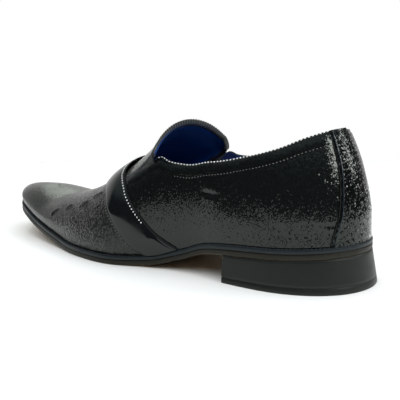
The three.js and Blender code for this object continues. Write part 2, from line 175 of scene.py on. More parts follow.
def edgeAt(station, side, inset):  # a station counts outline rows from the heel (0) to the toe
    share = np.asarray(station, float) / (2 * rowCount)
    point, run = edgeCurve(np.where(side > 0, share, (1 - share) % 1))
    run = run / lengths(run)[:, None]
    return point + np.stack([run[:, 1], -run[:, 0]], 1) * np.reshape(inset, (-1, 1))


stationTable = np.linspace(0, rowCount, 2001)
footTable = edgeAt(stationTable, 1, shoe["upperInset"])[:, 0]


def stationAt(along):
    return np.interp(along * shoe["length"], footTable, stationTable)


def softLimit(x):  # where a rib leans to
    heel, toe, blend = (ribShape[k] * shoe["length"] for k in ("heelCentre", "toeCentre", "centreBlend"))
    afterHeel = (x + heel + np.hypot(x - heel, blend)) / 2
    return (afterHeel + toe - np.hypot(afterHeel - toe, blend)) / 2


def ribAt(station, side):
    station, side = np.broadcast_arrays(np.asarray(station, float), np.asarray(side))
    foot = edgeAt(station, side, shoe["upperInset"])
    x = softLimit(sum(edgeAt(station, hand, shoe["upperInset"])[:, 0] for hand in (1, -1)) / 2)
    base = np.stack([x, midLine(x) * shoe["ball"]], 1)
    out = foot - base
    reach = lengths(out)
    low = soleTop(foot[:, 0]) + shoe["seam"]
    return {
        "base": base, "out": out / reach[:, None], "reach": reach, "low": low,
        "wide": reach + lastOf["swell"](foot[:, 0]) * shoe["ball"],
        "bend": low + lastOf["lift"](foot[:, 0]) * shoe["instepRise"],
        "top": soleTop(x) + lastOf["crown"](x) * shoe["instepRise"],
        "full": lastOf["full"](foot[:, 0]), "round": lastOf["round"](foot[:, 0]),
    }


def angleAt(height):  # the angle up the rounded part of a rib
    bend = ribShape["footBend"]
    return np.clip((height - bend) / (1 - bend), 0, 1) * np.pi / 2


def ribProfile(rib, height):
    bend = ribShape["footBend"]
    low, angle = np.clip(height / bend, 0, 1), angleAt(height)
    across = rib["wide"] * np.clip(np.cos(angle), 0, 1) ** (2 / rib["round"])
    up = rib["bend"] + (rib["top"] - rib["bend"]) * np.sin(angle) ** (2 / rib["full"])
    below = height <= bend
    across = np.where(below, rib["wide"] - (rib["wide"] - rib["reach"]) * (1 - low) ** 2, across)
    up = np.where(below, rib["low"] + (rib["bend"] - rib["low"]) * low, up)
    return np.where(height >= 1, 0, across), up


def lastPoint(rib, height, away=0.0):  # height from the foot line (0) to the ridge (1), away is outwards
    small = 0.004
    across, up = ribProfile(rib, height)
    acrossA, upA = ribProfile(rib, np.clip(height - small, 0, 1))
    acrossB, upB = ribProfile(rib, np.clip(height + small, 0, 1))
    run = np.hypot(acrossB - acrossA, upB - upA)
    ridge = height >= 1
    outward = np.where(ridge, 0, (upB - upA) / run)
    upward = np.where(ridge, 1, (acrossA - acrossB) / run)
    flat = rib["base"] + rib["out"] * np.maximum(0, across + outward * away)[:, None]
    return np.column_stack([flat, up + upward * away])


def spotOnLast(spot, side, away=0.0):  # one point, from its (along, height)
    return lastPoint(ribAt(stationAt(np.array([spot[0]])), side), np.array([spot[1]]), away)[0]


collarLine = alongOf(collarTable, "rise")
collarDip = {"depth": 5.5, "from": (55, 98), "to": (-200, -165)}  # lower on the inner side


def collarShares(side):  # how high up each rib the collar lies
    stations = np.linspace(0, rowCount, 421)
    heights = np.linspace(0.2, 1, 161)
    s, h = (a.ravel() for a in np.meshgrid(stations, heights, indexing="ij"))
    point = lastPoint(ribAt(s, side), h)
    skew = 0 if side > 0 else shoe["throatSkew"]
    dip = 0 if side > 0 else collarDip["depth"]
    x = point[:, 0]
    over = dip * smoothStep(x, *collarDip["from"]) * smoothStep(-x, *collarDip["to"])
    x = x + skew * np.clip(x / (ribShape["heelCentre"] * shoe["length"]), 0, 1)
    over += point[:, 2] - soleTop(point[:, 0]) - collarLine(x) * shoe["collarRise"]
    over = over.reshape(len(stations), len(heights))
    first = np.clip((over > 0).argmax(1), 1, len(heights) - 1)
    rows = np.arange(len(stations))
    a, b = over[rows, first - 1], over[rows, first]
    share = heights[first - 1] + (heights[1] - heights[0]) * np.clip(a / (a - b + 1e-9), 0, 1)
    return stations, np.where((over > 0).any(1), share, 1.0)


collarTables = {side: collarShares(side) for side in (1, -1)}


def collarShare(station, side):
    outer, inner = (np.interp(station, *collarTables[k]) for k in (1, -1))
    return np.where(side > 0, outer, inner)


# The model's zero is the back of the outsole on the shoe's middle line.
soleLow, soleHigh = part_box("outsole")
edgeShares = np.linspace(0, 1, 4001)[:-1]
shift = np.array([soleLow.x, soleHigh.y - edgeCurve(edgeShares)[0][:, 1].max() / 1000, 0])


def toShoe(points):
    return np.asarray(points, float) / 1000 + shift


def putIn(name, data):
    item = bpy.data.objects.new(name, data)
    scene.collection.objects.link(item)
    return item


# Mesh helpers
def finishPiece(bm, name, materials, keepFaces=False):
    mesh = bpy.data.meshes.new(name)
    if not keepFaces:
        bmesh.ops.recalc_face_normals(bm, faces=bm.faces[:])
    for face in bm.faces:
        face.smooth = True
    bm.to_mesh(mesh)
    bm.free()
    piece = putIn(name, mesh)
    for material in materials:
        mesh.materials.append(material)
    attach(piece, "root")
    return piece


def facesOut(bm, centre):  # turns an open sheet so that it faces away from the foot's axis
    middles = [(f, f.calc_center_median()) for f in bm.faces]
    if sum(f.normal.dot(at - centre(at)) * f.calc_area() for f, at in middles) < 0:
        bmesh.ops.reverse_faces(bm, faces=bm.faces[:])


axis = {"level": 0.02, "back": cadBox[0][0] + 0.06, "front": cadBox[1][0] - 0.05}


def footAxis(point):
    return Vector((min(max(point.x, axis["back"]), axis["front"]), 0, axis["level"]))


def drape(name, across, along, place, materials, closed=False, centre=footAxis):
    bm = bmesh.new()
    bm.loops.layers.uv.new("cut")
    bmesh.ops.create_grid(bm, x_segments=across, y_segments=along, size=0.5, calc_uvs=True)
    spot = np.array([v.co[:2] for v in bm.verts]) + 0.5
    for v, point in zip(bm.verts, toShoe(place(np.round(spot[:, 0], 6), np.round(spot[:, 1], 6)))):
        v.co = point
    bmesh.ops.remove_doubles(bm, verts=bm.verts[:], dist=2e-6)
    bm.normal_update()
    if not closed:
        facesOut(bm, centre)
    return finishPiece(bm, name, materials, keepFaces=not closed)


def thicken(piece, wall, inside=0):
    modifier = piece.modifiers.new("wall", "SOLIDIFY")
    modifier.thickness, modifier.offset, modifier.material_offset = wall / 1000, -1, inside
    modifier.use_even_offset = modifier.use_rim = True


# Node helpers
def addNode(tree, kind, values=None, **settings):
    node = tree.nodes.new("ShaderNode" + kind)
    for key, value in settings.items():
        setattr(node, key, value)
    for key, value in (values or {}).items():
        if isinstance(value, bpy.types.NodeSocket):
            tree.links.new(value, node.inputs[key])
        else:
            node.inputs[key].default_value = value
    return node


def mathOf(tree, operation, a, b=0.0, clamp=False):
    return addNode(tree, "Math", {0: a, 1: b}, operation=operation, use_clamp=clamp).outputs[0]


def vectorMath(tree, operation, a, b=(0.0, 0.0, 0.0)):
    second = "Scale" if operation == "SCALE" else 1
    return addNode(tree, "VectorMath", {0: a, second: b}, operation=operation).outputs


def rampOf(tree, value, low, high, toLow=0.0, toHigh=1.0):
    ends = {"Value": value, "From Min": low, "From Max": high, "To Min": toLow, "To Max": toHigh}
    return addNode(tree, "MapRange", ends, interpolation_type="SMOOTHSTEP").outputs["Result"]


def noiseOf(tree, place, scale, **more):
    return addNode(tree, "TexNoise", {"Vector": place, "Scale": scale, **more}).outputs


def mixColour(tree, factor, a, b):
    return addNode(tree, "Mix", {0: factor, 6: a, 7: b}, data_type="RGBA").outputs[2]


def groupOf(name, inputs, output, kind="NodeSocketFloat"):  # every group takes a place as well
    tree = bpy.data.node_groups.new(name, "ShaderNodeTree")
    tree.interface.new_socket(name="Vector", in_out="INPUT", socket_type="NodeSocketVector")
    for label, value in inputs.items():
        socket = tree.interface.new_socket(name=label, in_out="INPUT", socket_type="NodeSocketFloat")
        socket.default_value = value
    tree.interface.new_socket(name=output, in_out="OUTPUT", socket_type=kind)
    return tree, tree.nodes.new("NodeGroupInput").outputs, tree.nodes.new("NodeGroupOutput").inputs


def placeGroup(tree, group, place, **values):
    return addNode(tree, "Group", {"Vector": place, **values}, node_tree=group).outputs[0]


def crinkleGroup():  # worm-like crinkle of cast patent leather, as a height
    tree, given, out = groupOf("crinkle", {"Scale": 520.0, "Twist": 0.0006}, "Height")
    warp = noiseOf(tree, given["Vector"], 260.0, Detail=1.0)["Color"]
    push = vectorMath(tree, "SUBTRACT", warp, (0.5, 0.5, 0.5))[0]
    push = vectorMath(tree, "SCALE", push, given["Twist"])[0]
    moved = vectorMath(tree, "ADD", given["Vector"], push)[0]
    spread = {"Vector": moved, "Scale": given["Scale"], "Smoothness": 0.7}
    cells = addNode(tree, "TexVoronoi", spread, feature="SMOOTH_F1")
    fine = noiseOf(tree, moved, mathOf(tree, "MULTIPLY", given["Scale"], 1.3), Detail=1.0)[0]
    height = mathOf(tree, "ADD", cells.outputs["Distance"], mathOf(tree, "MULTIPLY", fine, 0.9))
    tree.links.new(height, out["Height"])
    return tree


def facetGroup():  # each small cell of the grain is tilted its own way, a few of them far
    tree, given, out = groupOf("facets", {"Scale": 1200.0, "Tilt": 0.2}, "Normal", "NodeSocketVector")
    cells = addNode(tree, "TexVoronoi", {"Vector": given["Vector"], "Scale": given["Scale"]})
    aside = vectorMath(tree, "SUBTRACT", cells.outputs["Color"], (0.5, 0.5, 0.5))[0]
    square = vectorMath(tree, "DOT_PRODUCT", aside, aside)["Value"]
    size = mathOf(tree, "MULTIPLY", mathOf(tree, "MULTIPLY", square, 4.0), given["Tilt"])
    push = vectorMath(tree, "SCALE", aside, size)[0]
    tilted = vectorMath(tree, "ADD", addNode(tree, "NewGeometry").outputs["Normal"], push)[0]
    tree.links.new(vectorMath(tree, "NORMALIZE", tilted)[0], out["Normal"])
    return tree


def filmGroup():  # faint uneven film, more in broad patches
    tree, given, out = groupOf("film", {"Scale": 30.0, "Amount": 0.2}, "Mask")
    broad = noiseOf(tree, given["Vector"], given["Scale"], Detail=4.0, Roughness=0.6)[0]
    mask = rampOf(tree, broad, 0.42, 0.75)
    tree.links.new(mathOf(tree, "MULTIPLY", mask, given["Amount"]), out["Mask"])
    return tree


def ribsGroup():  # parallel ribs across the first UV axis
    tree, given, out = groupOf("ribs", {"Count": 60.0}, "Height")
    first = addNode(tree, "SeparateXYZ", {0: given["Vector"]}).outputs[0]
    wave = mathOf(tree, "SINE", mathOf(tree, "MULTIPLY", first, given["Count"]))
    tree.links.new(rampOf(tree, wave, -1.0, 1.0), out["Height"])
    return tree


crinkle, facets, film, ribs = crinkleGroup(), facetGroup(), filmGroup(), ribsGroup()


def newMaterial(name, colour, roughness, specular=0.5, sheen=0.0):
    material = bpy.data.materials.new(name)
    material.use_nodes = True
    tree = material.node_tree
    shader = tree.nodes["Principled BSDF"]
    values = {
        "Base Color": (*colour, 1), "Roughness": roughness, "Specular IOR Level": specular,
        "Specular Tint": (0.93, 1.0, 0.92, 1), "Sheen Weight": sheen}
    for key, value in values.items():
        shader.inputs[key].default_value = value
    return material, tree, shader, tree.nodes.new("ShaderNodeTexCoord").outputs


def addBump(tree, shader, height, depth):  # depth in millimetres
    bump = addNode(tree, "Bump", {"Height": height, "Distance": depth / 1000, "Strength": 1.0})
    tree.links.new(bump.outputs[0], shader.inputs["Normal"])
    return bump


def varyRoughness(tree, shader, mask, most, low, high):
    tree.links.new(rampOf(tree, mask, 0.0, most, low, high), shader.inputs["Roughness"])


def varyColour(tree, shader, factor, colour, tone):  # towards the same colour, tone times as light
    light = tuple(c * tone for c in colour)
    tree.links.new(mixColour(tree, factor, (*colour, 1), (*light, 1)), shader.inputs["Base Color"])


def crinkledPatent(name, colour, depth, tilt, scale, roughness=0.08, specular=0.42):
    material, tree, shader, where = newMaterial(name, colour, roughness, specular)
    place = where["Object"]
    bump = addBump(tree, shader, placeGroup(tree, crinkle, place, Scale=scale * 0.7), depth)
    tree.links.new(placeGroup(tree, facets, place, Scale=scale, Tilt=tilt), bump.inputs["Normal"])
    mask = placeGroup(tree, film, place, Scale=22.0, Amount=0.35)
    varyRoughness(tree, shader, mask, 0.4, roughness, roughness + 0.1)
    return material


def wrinkledVamp():  # fine wrinkles, deep where the foot bends, fading to the toe and the welt
    material, tree, shader, where = newMaterial("vampLeather", (0.011, 0.012, 0.011), 0.2, 0.45)
    turn = {"Vector": where["Object"], "Rotation": (0.0, 0.9, 0.5), "Scale": (1.0, 1.0, 0.8)}
    turned = addNode(tree, "Mapping", turn).outputs[0]
    height = placeGroup(tree, crinkle, turned, Scale=640.0, Twist=0.0012)
    strength = addNode(tree, "Attribute", attribute_name="flex").outputs["Fac"]
    bump = addBump(tree, shader, mathOf(tree, "MULTIPLY", height, strength), 0.6)
    # specular is lowered in the deep wrinkle troughs: painted shade in the creases
    gap = mathOf(tree, "MULTIPLY", rampOf(tree, height, 0.7, 1.0), strength, clamp=True)
    tree.links.new(rampOf(tree, gap, 0.0, 1.0, 0.48, 0.12), shader.inputs["Specular IOR Level"])
    tilt = mathOf(tree, "MULTIPLY", strength, 0.5)
    tree.links.new(placeGroup(tree, facets, turned, Scale=1300.0, Tilt=tilt), bump.inputs["Normal"])
    mask = placeGroup(tree, film, where["Object"], Scale=26.0, Amount=0.6)
    varyRoughness(tree, shader, mask, 0.6, 0.2, 0.32)
    return material


def plainLeather(name, colour, roughness, depth, scale, specular=0.5, sheen=0.0, tone=1.0):
    material, tree, shader, where = newMaterial(name, colour, roughness, specular, sheen)
    spread = {"Vector": where["Object"], "Scale": scale, "Smoothness": 0.6}
    cells = addNode(tree, "TexVoronoi", spread, feature="SMOOTH_F1")
    addBump(tree, shader, cells.outputs["Distance"], depth)
    mask = placeGroup(tree, film, where["Object"], Scale=40.0, Amount=1.0)
    varyColour(tree, shader, mask, colour, tone)
    varyRoughness(tree, shader, mask, 1.0, roughness, roughness + 0.12)
    return material


def edgeLeather(name, colour, roughness, tone=1.5):  # cut and inked layers: fine lines along the edge
    material, tree, shader, where = newMaterial(name, colour, roughness, 0.35)
    flat = addNode(tree, "Mapping", {"Vector": where["Object"], "Scale": (0.12, 0.12, 3.0)})
    lines = noiseOf(tree, flat.outputs[0], 700.0, Detail=3.0)[0]
    patches = placeGroup(tree, film, where["Object"], Scale=55.0, Amount=1.0)
    share = mathOf(tree, "MULTIPLY", lines, mathOf(tree, "ADD", patches, 0.5))
    varyColour(tree, shader, share, colour, tone)
    addBump(tree, shader, lines, 0.05)
    varyRoughness(tree, shader, patches, 1.0, roughness, roughness + 0.15)
    return material


def ribbedCloth(name, colour, count, depth, tone=2.2):
    material, tree, shader, where = newMaterial(name, colour, 0.55, sheen=0.08)
    height = placeGroup(tree, ribs, where["UV"], Count=count)
    weave = noiseOf(tree, where["Object"], 2400.0)[0]
    addBump(tree, shader, mathOf(tree, "ADD", height, mathOf(tree, "MULTIPLY", weave, 0.4)), depth)
    # rib crests are tone times lighter: painted highlight along the ribs
    varyColour(tree, shader, height, colour, tone)
    return material


def tongueInside():  # navy, brighter blue towards the tape
    navy, blue = (0.0015, 0.020, 0.105), (0.006, 0.055, 0.27)
    material, tree, shader, where = newMaterial("tongueInside", navy, 0.5, 0.1)
    across, up = addNode(tree, "SeparateXYZ", {0: where["UV"]}).outputs[:2]
    side = mathOf(tree, "ABSOLUTE", mathOf(tree, "SUBTRACT", across, 0.5))
    near = mathOf(tree, "MAXIMUM", rampOf(tree, up, 0.80, 1.0), rampOf(tree, side, 0.40, 0.5))
    tree.links.new(mixColour(tree, near, (*navy, 1), (*blue, 1)), shader.inputs["Base Color"])
    addBump(tree, shader, noiseOf(tree, where["Object"], 1500.0)[0], 0.06)
    return material


patent = crinkledPatent("patentLeather", (0.006, 0.007, 0.007), 0.03, 0.15, 1700.0)
stayPatent = crinkledPatent("stayPatent", (0.004, 0.005, 0.005), 0.07, 0.24, 1150.0, 0.05)
vampLeather = wrinkledVamp()
strapPatent = plainLeather("strapPatent", (0.006, 0.007, 0.008), 0.07, 0.01, 900.0, 0.42)
navyLining = plainLeather("navyLining", (0.008, 0.035, 0.17), 0.42, 0.05, 1100.0, 0.35, 0.2, 1.5)
# light grey base on the patent tongue face: painted reflection of the bright far side
tongueLeatherPaintedReflection = crinkledPatent("tongueLeatherPaintedReflection", (0.085, 0.087, 0.084), 0.12, 0.18, 800.0, 0.06, 1.0)
elastic = ribbedCloth("elastic", (0.006, 0.006, 0.007), 180.0, 0.2)
weltEdge = edgeLeather("weltEdge", (0.005, 0.008, 0.012), 0.42)
soleEdge = edgeLeather("soleEdge", (0.008, 0.006, 0.004), 0.48)
heelEdge = edgeLeather("heelEdge", (0.008, 0.009, 0.008), 0.42, tone=1.25)
soleTan = plainLeather("soleTan", (0.20, 0.115, 0.04), 0.5, 0.04, 800.0, tone=1.3)
greyThread = plainLeather("greyThread", (0.20, 0.20, 0.19), 0.45, 0.02, 3000.0)
thread = plainLeather("thread", (0.88, 0.89, 0.88), 0.45, 0.02, 3000.0, sheen=0.3)
# lighter than the patent it edges: partly painted highlight along the rolled topline edge
beadWithPaintedHighlight = plainLeather("beadWithPaintedHighlight", (0.05, 0.055, 0.06), 0.25, 0.25, 420.0)
stayLine = plainLeather("stayLine", (0.010, 0.016, 0.026), 0.3, 0.02, 900.0)
darkThread = plainLeather("darkThread", (0.05, 0.055, 0.06), 0.4, 0.02, 3000.0, sheen=0.3)
# near-black rails: painted shadow in the gaps by the strap and stay, painted shade inside the slashes, and
# the dark lining seam
paintedShadeAndSeam = plainLeather("paintedShadeAndSeam", (0.003, 0.003, 0.003), 0.7, 0.02, 1500.0)
print("stage: materials")

# Strap lines, used by the vamp and the quarters that it covers.
strapTable = {  # by the share of the rise up the side, from the foot line to the ridge
    "rise": [0, .10, .20, .30, .44, .60, .73, .85, .95, 1.0],
    "back": [.360, .3846, .4051, .4295, .453, .4747, .4905, .511, .5275, .534],
    "front": [.444, .467, .483, .4925, .508, .528, .5435, .568, .602, .632],
}
strapLean = 0.69  # power that turns the angle up the side into a share of the rise
backByRise, frontByRise = (curveOf(strapTable["rise"], strapTable[k], True) for k in ("back", "front"))


def riseOf(height):
    bend = ribShape["footBend"]
    return np.where(height <= bend, height, bend + (1 - bend) * np.sin(angleAt(height)) ** strapLean)


def strapBack(height):
    return backByRise(riseOf(height))


def strapFront(height):
    return frontByRise(riseOf(height))


def underStrap(height):  # the line under the strap where vamp and quarters meet
    return (strapBack(height) + strapFront(height)) / 2


def sideOf(u):
    return np.where(u <= 0.5, 1, -1)


def climbOf(u):
    return 1 - np.abs(2 * u - 1)


footFade = (0.02, 0.2)  # heights over which the waves set in above the sole


def wobble(points, piece):  # slow waves of pulled leather, in millimetres
    x, y, z = points.T / piece["waveReach"]
    waves = np.sin(1.7 * x + 0.9 * y + 1.3 * z) + 0.7 * np.sin(2.9 * z - 1.1 * x + 2) \
        + 0.5 * np.sin(3.7 * y + 2.3 * x + 1.1 * z + 4)
    return piece["wave"] * waves / 2.2


# Vamp: one skin from under the strap to the toe, with slashes in a row on each side.
vamp = {
    "across": 240, "along": 190, "wall": 1.6, "wave": 0.18, "waveReach": 17,
    "lip": 1.1, "lipWidth": 1.35, "slit": 0.6, "slitWidth": 0.45, "slashReach": 40,
    "slashFrom": (-0.12, 0.25), "slashTo": (-1.12, -0.75),
}
slashes = [  # (along, height) of both ends, front first
    ((.756, .375), (.739, .510)), ((.708, .510), (.695, .590)),
    ((.650, .535), (.622, .585)), ((.611, .600), (.572, .602)),
]


def slashRelief(points):
    relief = np.zeros(len(points))
    for first, second in slashes:
        for hand in (1, -1):
            a, b = (spotOnLast(spot, hand) for spot in (first, second))
            lift = spotOnLast(first, hand, 1.0) - a
            run = (b - a) / np.linalg.norm(b - a)
            over = np.cross(lift, run) * -hand
            over /= np.linalg.norm(over)
            gap = points - a
            t = gap @ run / np.linalg.norm(b - a)
            d = gap @ over
            near = smoothStep(t, *vamp["slashFrom"]) * smoothStep(-t, *vamp["slashTo"])
            near *= lengths(gap) < vamp["slashReach"]
            relief += near * vamp["lip"] * bumpAt(d - vamp["lipWidth"] * 0.8, vamp["lipWidth"])
            relief -= near * vamp["slit"] * bumpAt(d, vamp["slitWidth"])
    return relief


def vampPlace(u, w):
    height, side = climbOf(u), sideOf(u)
    back = stationAt(underStrap(height))
    station = back + (rowCount - back) * w
    rib = ribAt(station, side)
    plain = lastPoint(rib, height)
    away = wobble(plain, vamp) * smoothStep(height, *footFade)
    return lastPoint(rib, height, away + slashRelief(plain))


vampSkin = drape("vamp", vamp["across"], vamp["along"], vampPlace, [vampLeather, navyLining])
thicken(vampSkin, vamp["wall"], inside=1)
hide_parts("upper")


flex = {"at": 0.60, "reach": 0.11, "rise": 0.34, "riseReach": 0.30, "least": 0.12, "most": 0.95}


def vampFlex(points):  # how deep the wrinkles are at each point
    share = points[:, 0] / shoe["length"]
    rise = (points[:, 2] - soleTop(points[:, 0])) / shoe["instepRise"]
    bend = bumpAt(share - flex["at"], flex["reach"]) * bumpAt(rise - flex["rise"], flex["riseReach"])
    return flex["least"] + flex["most"] * bend


flexLayer = vampSkin.data.attributes.new("flex", "FLOAT", "POINT")
vampPoints = (np.array([v.co for v in vampSkin.data.vertices]) - shift) * 1000
flexLayer.data.foreach_set("value", vampFlex(vampPoints).astype(np.float32))
print("stage: vamp")

# Quarters: from under the strap round the heel, with a soft roll under the collar.
quarter = {
    "around": 420, "up": 64, "wall": 1.7, "wave": 0.16, "waveReach": 21,
    "rollWidth": 8.0, "roll": 0.3, "groove": 0.1, "grooveWidth": 0.7,
    "seamRise": 0.62, "fade": 0.35, "rim": 0.35, "rimAt": 2.2, "rimWidth": 1.4,
}
creases = [  # (along, height) of both ends, depth, width
    ((.300, .350), (.262, .358), 0.6, 1.5), ((.050, .190), (.033, .182), 0.3, 1.0),
    ((.34, .40), (.30, .32), 0.12, 4.0), ((.19, .30), (.13, .22), 0.15, 4.0),
]


def creaseRelief(points):
    relief = np.zeros(len(points))
    for first, second, depth, width in creases:
        a, b = spotOnLast(first, 1), spotOnLast(second, 1)
        run = b - a
        t = np.clip((points - a) @ run / (run @ run), 0, 1)
        gap = lengths(points - a - t[:, None] * run)
        fade = quarter["fade"] + (1 - quarter["fade"]) * np.sin(np.pi * np.clip(t, 0.02, 0.98))
        rim = quarter["rim"] * bumpAt(gap - quarter["rimAt"] * width, quarter["rimWidth"] * width)
        relief += fade * depth * (rim - bumpAt(gap, width))
    return relief


def quarterSpot(u, v):
    side = sideOf(u)
    station = stationAt(underStrap(v * quarter["seamRise"])) * np.abs(1 - 2 * u)
    return station, side, v * collarShare(station, side)


def quarterPlace(u, v):
    station, side, height = quarterSpot(u, v)
    rib = ribAt(station, side)
    plain = lastPoint(rib, height)
    edge = lastPoint(rib, collarShare(station, side))
    below = lengths(edge - plain)
    away = wobble(plain, quarter) * smoothStep(height, *footFade)
    away += quarter["roll"] * np.sin(np.pi * np.clip(below / quarter["rollWidth"], 0, 1))
    away -= quarter["groove"] * bumpAt(below - quarter["rollWidth"], quarter["grooveWidth"])
    return lastPoint(rib, height, away + creaseRelief(plain))


quarters = drape("quarters", quarter["around"], quarter["up"], quarterPlace, [patent, navyLining])
thicken(quarters, quarter["wall"], inside=1)
print("stage: quarters")


# Loops across a strip: k runs over the top from one edge to the other and back underneath.
def stripSection(k, sharp):
    top = k <= 0.5
    t = np.where(top, 4 * k - 1, 3 - 4 * k)
    share = np.sin(t * np.pi / 2)
    lift = np.sqrt(np.clip(1 - np.abs(share) ** sharp, 0, 1))
    return (share + 1) / 2, np.where(top, lift, 0.0)


# Saddle strap: padded, with a bead along the front edge and a sewn channel along the back.
strap = {
    "along": 260, "section": 72, "foot": 0.01, "sharp": 26, "edge": 0.45, "bead": 0.045, "channel": 0.93,
    "channelDepth": 0.22, "channelWidth": 0.7, "beadDepth": 0.25, "beadWidth": 0.5,
    "wave": 0.10, "waveReach": 11,
}


def strapPoint(u, across, lift):
    height = strap["foot"] + (1 - strap["foot"]) * climbOf(u)
    along = strapFront(height) + (strapBack(height) - strapFront(height)) * across
    puff = strap["edge"] + (1 - strap["edge"]) * np.sin(np.pi * across)
    wide = (strapFront(height) - strapBack(height)) * shoe["length"]
    channel = strap["channelDepth"] * bumpAt((across - strap["channel"]) * wide, strap["channelWidth"])
    bead = strap["beadDepth"] * bumpAt((across - 2 * strap["bead"]) * wide, strap["beadWidth"])
    rib = ribAt(stationAt(along), sideOf(u))
    plain = lastPoint(rib, height)
    thick = shoe["strap"] * puff - channel - bead
    thick = thick + wobble(plain, strap) * np.sin(np.pi * across)
    return lastPoint(rib, height, 0.1 + lift * thick)


def strapPlace(u, k):
    return strapPoint(u, *stripSection(k, strap["sharp"]))


saddle = drape("saddleStrap", strap["along"], strap["section"], strapPlace, [strapPatent], closed=True)
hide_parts("saddle_strap")
print("stage: strap")

# Back stay: a panel over the heel seam with turned edges.
stay = {"across": 96, "up": 90, "sharp": 40, "bead": 0.35, "beadAt": 0.95, "beadWidth": 0.035, "rise": 0.56}
stayTable = {"height": [0, .14, .30, .45, .80], "edge": [.042, .035, .028, .023, .027]}
stayEdge = curveOf(stayTable["height"], stayTable["edge"])


def stayPoint(share, v, lift):
    turn, side = 1 - 2 * share, sideOf(share)
    station = stationAt(stayEdge(v * stay["rise"])) * np.abs(turn)
    height = v * collarShare(station, side)
    bead = stay["bead"] * bumpAt(np.abs(turn) - stay["beadAt"], stay["beadWidth"])
    return lastPoint(ribAt(station, side), height, 0.1 + lift * (shoe["stay"] + bead))


def stayPlace(k, v):
    share, lift = stripSection(k, stay["sharp"])
    return stayPoint(share, v, lift)


backStay = drape("backStay", stay["across"], stay["up"], stayPlace, [stayPatent], closed=True)
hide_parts("back_stay")
print("stage: back stay")

# Tongue: leather face, navy lining, and a ribbed tape round its free edge.
tongueTable = {
    "along": [.640, .600, .560, .520, .480, .450, .430, .410],
    "reach": [.86, .74, .66, .60, .58, .60, .59, .565],
    "curl": [0, 0, 0, 0, 0, .005, .010, .012],
    "flare": [0, 0, 0, 0, 0, .2, .6, 1.0],
    "spread": [0, 0, 0, 0, 0, .15, .5, 1.0],
    "innerReach": [.86, .74, .66, .60, .54, .504, .507, .562],
    "innerSpread": [0, 0, 0, .15, .50, .914, 1.119, .98],
}
tongueRows = np.arange(len(tongueTable["along"]))
tongueOf = {column: curveOf(tongueRows, values) for column, values in tongueTable.items()}
tongue = {
    "across": 120, "up": 110, "face": 1.3, "lining": 1.2, "cornerFrom": 0.84, "cornerDrop": 0.55,
    "tapeRibs": 94, "tapeWide": 1.9, "tapeThick": 1.85, "tapeIn": 1.1, "ribDepth": 0.16,
    "tapeRows": (2.2, 5.9), "tapeRise": 0.42, "tapeSquare": 0.6,
}


def tonguePoint(row, across, deeper):
    aside = np.abs(across)
    along = tongueOf["along"](row) - tongueOf["curl"](row) * aside ** 2
    reach = np.where(across < 0, tongueOf["innerReach"](row), tongueOf["reach"](row))
    height = 1 - (1 - reach) * aside
    away = tongueOf["flare"](row) * shoe["tongueFlare"] - shoe["wall"] - shoe["liningSeam"] - deeper
    point = lastPoint(ribAt(stationAt(along), np.where(across >= 0, 1, -1)), height, away)
    spread = np.where(across < 0, tongueOf["innerSpread"](row), tongueOf["spread"](row))
    point[:, 1] += spread * shoe["tongueSpread"] * across
    return point


def tongueTop(across):  # the row of the top edge: its corners are rounded off
    past = np.clip((np.abs(across) - tongue["cornerFrom"]) / (1 - tongue["cornerFrom"]), 0, 1)
    return tongueRows[-1] - tongue["cornerDrop"] * (1 - np.sqrt(1 - 0.98 * past ** 2))


def tonguePlace(deeper):
    def place(u, w):
        return tonguePoint(tongueTop(1 - 2 * u) * w, 1 - 2 * u, deeper)
    return place


def towardCentre(point):
    return Vector((point.x, 0, axis["level"]))


tongueFace = drape(
    "tongueFace", tongue["across"], tongue["up"], tonguePlace(0.0), [tongueLeatherPaintedReflection], centre=towardCentre)
thicken(tongueFace, tongue["face"])
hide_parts("tongue")
tongueLining = drape(
    "tongueLining", tongue["across"], tongue["up"], tonguePlace(tongue["face"] + 0.15), [tongueInside()],
    centre=towardCentre)
thicken(tongueLining, tongue["lining"])


def tapePath(s):  # up one side, over the rounded corners, down the other: across, row, turn
    side = np.where(s < 0.5, 1, -1)
    t = climbOf(s)
    rise = tongue["tapeRise"]
    low, high = tongue["tapeRows"]
    sweep = np.clip((t - rise) / (1 - rise), 0, 1)
    across = np.where(t < rise, 1.0, np.cos(sweep * np.pi / 2))
    row = np.where(t < rise, low + (high - low) * t / rise, tongueTop(across))
    turn = smoothStep(across, 1.0, tongue["cornerFrom"] - 0.1)
    return side * across, row, turn


def tapePlace(s, k):
    across, row, turn = tapePath(s)
    small = 0.02
    middle = shoe["tongue"] / 2
    edge = tonguePoint(row, across, middle)
    up = edge - tonguePoint(row - small * 4, across, middle)
    out = edge - tonguePoint(row, across * (1 - small), middle)
    normal = unit(tonguePoint(row, across, 0) - edge)
    lead = unit(unit(out) * (1 - turn)[:, None] + unit(up) * turn[:, None])
    angle = 2 * np.pi * k
    rib = 1 + tongue["ribDepth"] * np.cos(2 * np.pi * tongue["tapeRibs"] * s)
    flatOut = np.sign(np.cos(angle)) * np.abs(np.cos(angle)) ** tongue["tapeSquare"] * tongue["tapeWide"]
    flatUp = np.sign(np.sin(angle)) * np.abs(np.sin(angle)) ** tongue["tapeSquare"] * tongue["tapeThick"]
    return edge + lead * (flatOut * rib - tongue["tapeIn"])[:, None] + normal * (flatUp * rib)[:, None]


grosgrain = ribbedCloth("grosgrain", (0.008, 0.008, 0.009), 2 * math.pi * tongue["tapeRibs"], 0.1, tone=7)
tape = drape("tongueTape", tongue["tapeRibs"] * 5, 16, tapePlace, [grosgrain], closed=True)
print("stage: tongue")

